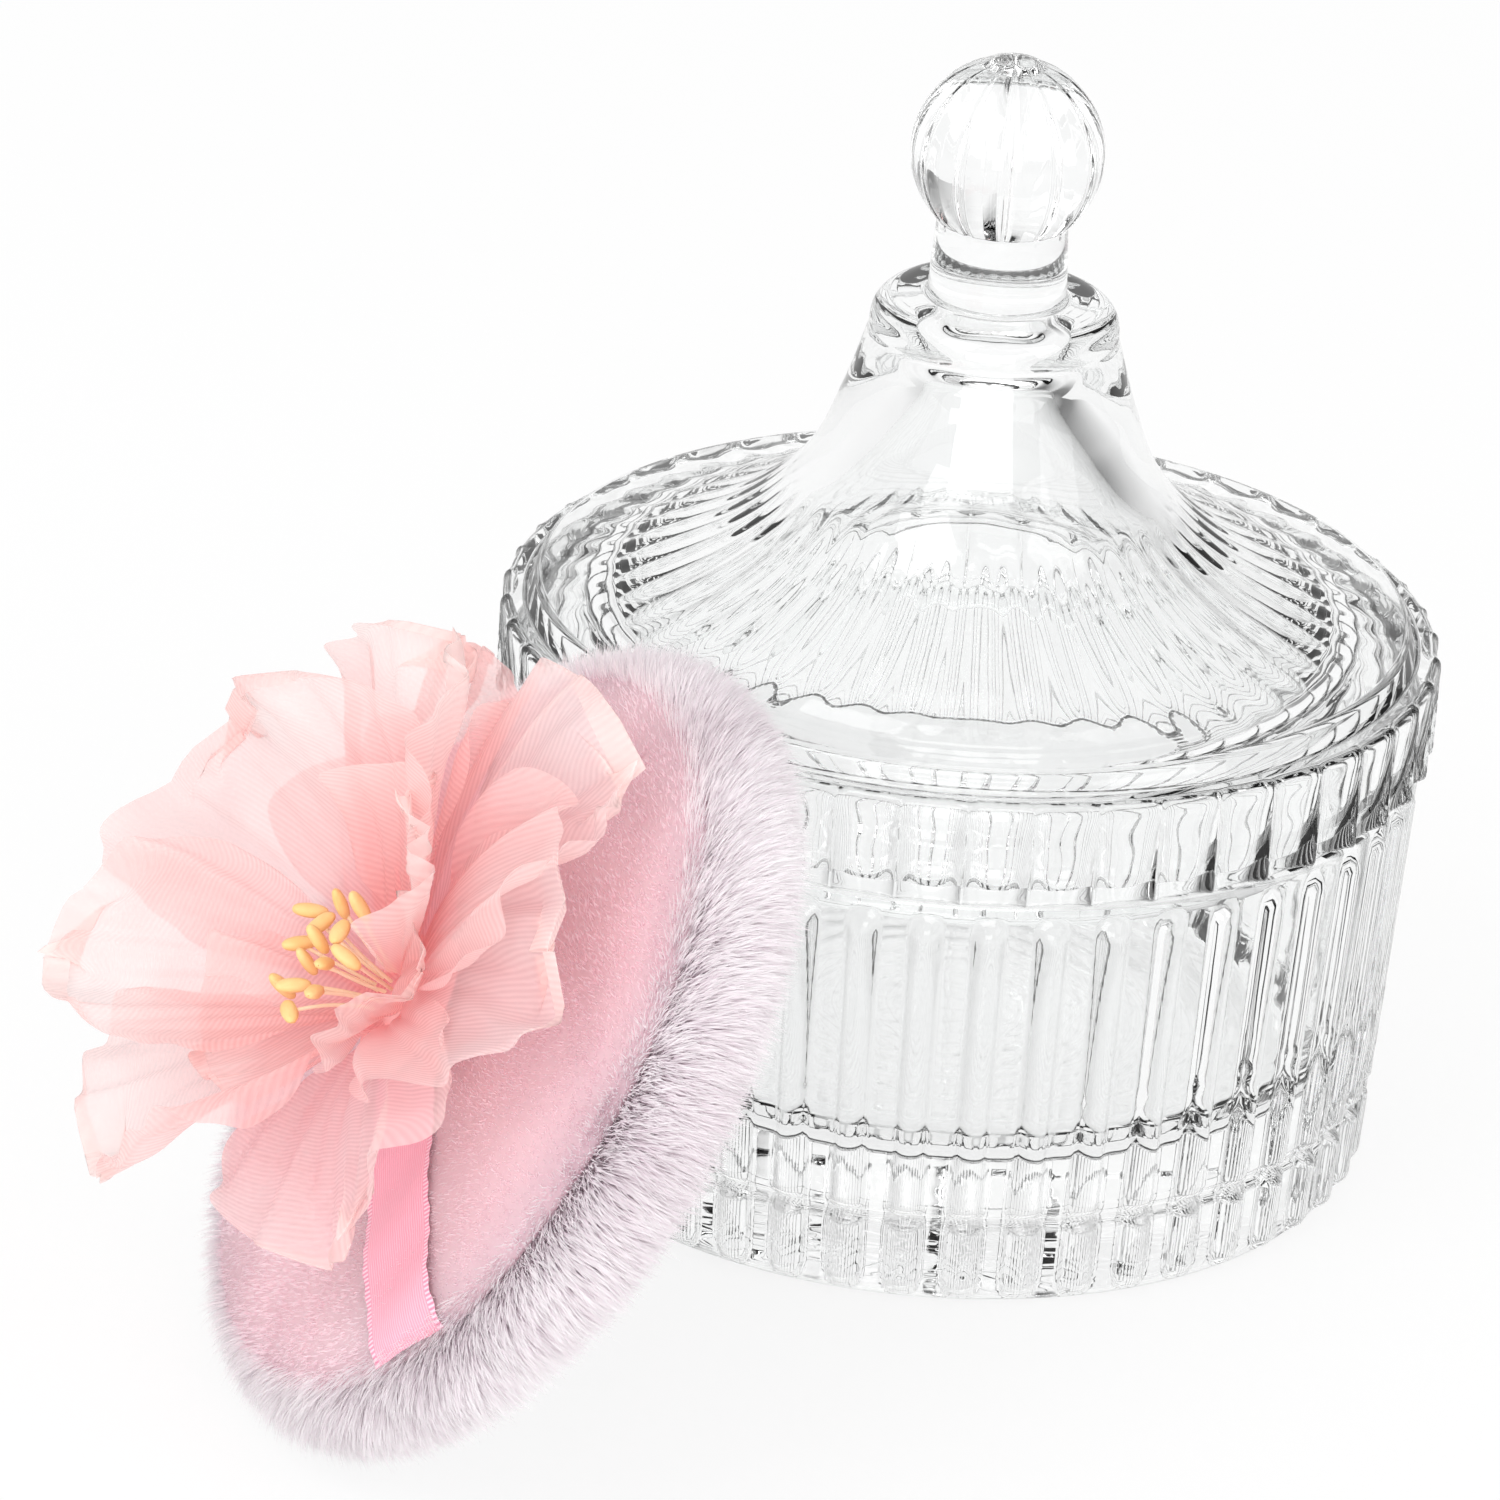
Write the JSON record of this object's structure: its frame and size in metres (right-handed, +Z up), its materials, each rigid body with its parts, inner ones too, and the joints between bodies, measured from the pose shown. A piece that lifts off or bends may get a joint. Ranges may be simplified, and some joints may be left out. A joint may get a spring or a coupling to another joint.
{
  "type": "powder jar",
  "caption": "Round pressed-glass powder jar with ribbed walls, a tent-shaped lift-off lid with a ball knob, and a plush powder puff with ribbon strap and gauze flower leaning against it",
  "frame": {"origin": "centre of the jar's flat base, on the surface the jar stands on", "axes": "+Z up along the jar's axis, +X to the right and -Y towards the front; the puff leans at the front left"},
  "size_m": [0.1319, 0.1602, 0.1217],
  "materials": {
    "clear_glass": "fire-polished pressed glass, clear and colourless",
    "white_plush": "long-pile faux fur, white with a lilac-pink ground",
    "foam": "soft open-cell sponge",
    "pink_velour": "short brushed velour with a soft sheen",
    "pink_satin": "satin ribbon with a fine woven edge",
    "pink_felt": "thin pressed felt",
    "blush_gauze": "stiff translucent organza",
    "stamen_thread": "stiffened cotton thread",
    "stamen_tip": "matt moulded paste beads"
  },
  "bodies": {
    "jar": {"jar_body": "clear_glass"},
    "lid": {"jar_lid": "clear_glass"},
    "puff": {"puff_plush_back": "white_plush", "puff_foam_core": "foam", "puff_velour_top": "pink_velour", "ribbon_strap": "pink_satin", "flower_pad": "pink_felt", "outer_petal_1": "blush_gauze", "outer_petal_2": "blush_gauze", "outer_petal_3": "blush_gauze", "outer_petal_4": "blush_gauze", "outer_petal_5": "blush_gauze", "outer_petal_6": "blush_gauze", "inner_petal_1": "blush_gauze", "inner_petal_2": "blush_gauze", "inner_petal_3": "blush_gauze", "inner_petal_4": "blush_gauze", "inner_petal_5": "blush_gauze", "stamen_filaments": "stamen_thread", "stamen_anthers": "stamen_tip"}
  },
  "joints": [
    {"name": "lid_lift", "type": "slide", "parent": "jar", "child": "lid", "axis": [0, 0, 1], "range_m": [0, 0.1]},
    {"name": "puff_lift", "type": "slide", "parent": "jar", "child": "puff", "axis": [0, 0, 1], "range_m": [0, 0.13]}
  ]
}
